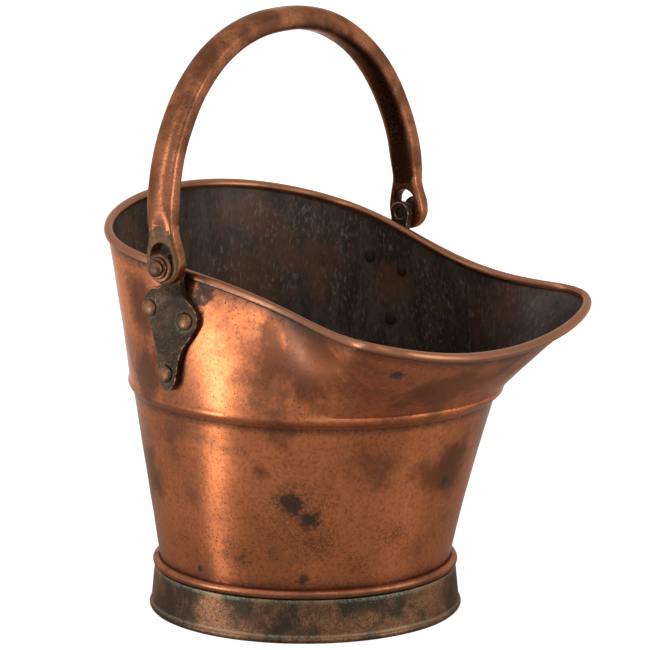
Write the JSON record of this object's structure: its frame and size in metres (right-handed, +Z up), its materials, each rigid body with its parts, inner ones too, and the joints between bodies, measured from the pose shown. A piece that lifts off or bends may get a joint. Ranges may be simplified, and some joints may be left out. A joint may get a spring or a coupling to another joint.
{
  "type": "coal scuttle",
  "caption": "Copper coal scuttle: a round flaring bucket on a banded foot, a high back that falls to a wide pouring lip, and a bow handle swinging on riveted brackets.",
  "frame": {"origin": "centre of the foot ring, on the floor", "axes": "+X out over the pouring lip, +Z up, +Y to the left side; the handle turns about Y"},
  "size_m": [0.3411, 0.312, 0.4533],
  "materials": {
    "body_copper": "tarnished, hand-burnished",
    "foot_patina": "dark mottled patina",
    "bead_copper": "satin",
    "pan_copper": "blackened",
    "wire_iron": "bare",
    "bracket_bronze": "dark, worn bright at the edges",
    "rivet_brass": "satin",
    "handle_copper": "satin, worn by the hand",
    "eye_brass": "dull, worn at the edges"
  },
  "bodies": {
    "scuttle": {"body_shell": "body_copper", "rim_wire": "wire_iron", "base_pan": "pan_copper", "foot_band": "foot_patina", "foot_wire": "wire_iron", "foot_bead": "bead_copper", "right_bracket": "bracket_bronze", "right_front_rivet": "rivet_brass", "right_back_rivet": "rivet_brass", "right_lower_rivet": "rivet_brass", "right_pivot_pin": "rivet_brass", "right_pin_collar": "rivet_brass", "left_bracket": "bracket_bronze", "left_front_rivet": "rivet_brass", "left_back_rivet": "rivet_brass", "left_lower_rivet": "rivet_brass", "left_pivot_pin": "rivet_brass", "left_pin_collar": "rivet_brass"},
    "handle": {"handle_bow": "handle_copper", "right_handle_eye": "eye_brass", "left_handle_eye": "eye_brass"}
  },
  "joints": [
    {"name": "handle_swing", "type": "hinge", "parent": "scuttle", "child": "handle", "pos_m": [-0.0135, 0, 0.28017], "axis": [0, 1, 0], "range_deg": [-120, 101]}
  ]
}
